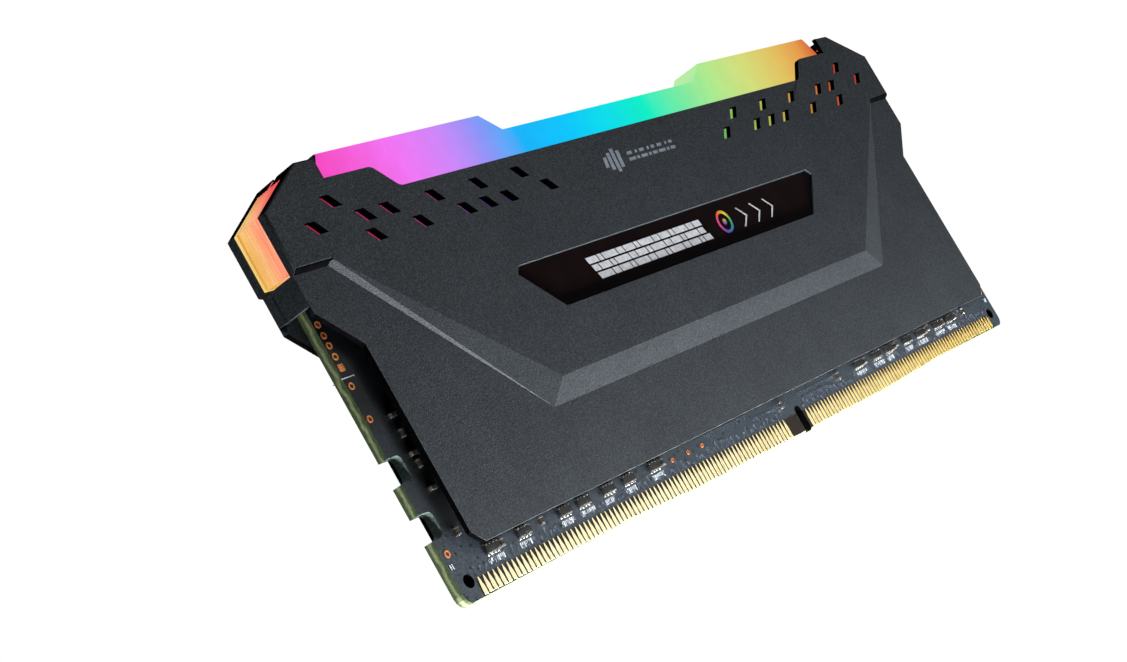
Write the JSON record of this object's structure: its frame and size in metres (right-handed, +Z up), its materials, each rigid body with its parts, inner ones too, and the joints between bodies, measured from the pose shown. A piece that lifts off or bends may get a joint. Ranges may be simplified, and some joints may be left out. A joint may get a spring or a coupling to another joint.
{
  "type": "ram module",
  "caption": "Tall desktop memory module: a circuit board with gold contacts between two folded heat spreaders, with a lit bar along the top and lit strips at both ends.",
  "frame": {"origin": "bottom centre of the module: the middle of the board's length and thickness, at the lowest point of the contact edge", "axes": "+X along the module, to the right when the front is seen; +Y from the front through the thickness to the rear; +Z up from the contact edge to the light bar"},
  "size_m": [0.1356, 0.0066, 0.051],
  "materials": {
    "spreader_coat": "charcoal powder coat with a fine even grain, on aluminium sheet",
    "board_mask": "blue-black solder mask over glass-fibre board, with faint traces",
    "contact_gold": "gold plating, smooth and bright",
    "chip_moulding": "black moulded chip package, finely pitted",
    "led_package": "white moulded lamp package with a clear lens",
    "resistor_body": "black film on ceramic with tinned ends",
    "thermal_pad": "soft grey heat-conducting pad",
    "light_bar": "milky light guide, lit in a run of colours from pink through blue and green to orange",
    "end_diffuser": "milky light guide with fine lengthwise ribs, lit peach",
    "bracket_plastic": "black moulded plastic",
    "badge_plate": "near-black gloss plate with a thin bevelled rim",
    "label_film": "plain silver-grey film label, blank"
  },
  "bodies": {
    "root": {"badge_front": "badge_plate", "badge_rear": "badge_plate", "circuit_board": "board_mask", "contacts_front_left": "contact_gold", "contacts_front_right": "contact_gold", "contacts_rear_left": "contact_gold", "contacts_rear_right": "contact_gold", "end_bracket_left": "bracket_plastic", "end_bracket_right": "bracket_plastic", "end_diffuser_left": "end_diffuser", "end_diffuser_right": "end_diffuser", "heat_spreader_front": "spreader_coat", "heat_spreader_rear": "spreader_coat", "label_rear": "label_film", "led_1": "led_package", "led_10": "led_package", "led_2": "led_package", "led_3": "led_package", "led_4": "led_package", "led_5": "led_package", "led_6": "led_package", "led_7": "led_package", "led_8": "led_package", "led_9": "led_package", "light_bar": "light_bar", "lighting_controller": "chip_moulding", "memory_chip_front_1": "chip_moulding", "memory_chip_front_2": "chip_moulding", "memory_chip_front_3": "chip_moulding", "memory_chip_front_4": "chip_moulding", "memory_chip_front_5": "chip_moulding", "memory_chip_front_6": "chip_moulding", "memory_chip_front_7": "chip_moulding", "memory_chip_front_8": "chip_moulding", "memory_chip_rear_1": "chip_moulding", "memory_chip_rear_2": "chip_moulding", "memory_chip_rear_3": "chip_moulding", "memory_chip_rear_4": "chip_moulding", "memory_chip_rear_5": "chip_moulding", "memory_chip_rear_6": "chip_moulding", "memory_chip_rear_7": "chip_moulding", "memory_chip_rear_8": "chip_moulding", "resistor_array_1": "resistor_body", "resistor_array_10": "resistor_body", "resistor_array_11": "resistor_body", "resistor_array_12": "resistor_body", "resistor_array_13": "resistor_body", "resistor_array_14": "resistor_body", "resistor_array_2": "resistor_body", "resistor_array_3": "resistor_body", "resistor_array_4": "resistor_body", "resistor_array_5": "resistor_body", "resistor_array_6": "resistor_body", "resistor_array_7": "resistor_body", "resistor_array_8": "resistor_body", "resistor_array_9": "resistor_body", "spd_chip": "chip_moulding", "thermal_pad_front": "thermal_pad", "thermal_pad_rear": "thermal_pad"}
  },
  "joints": []
}
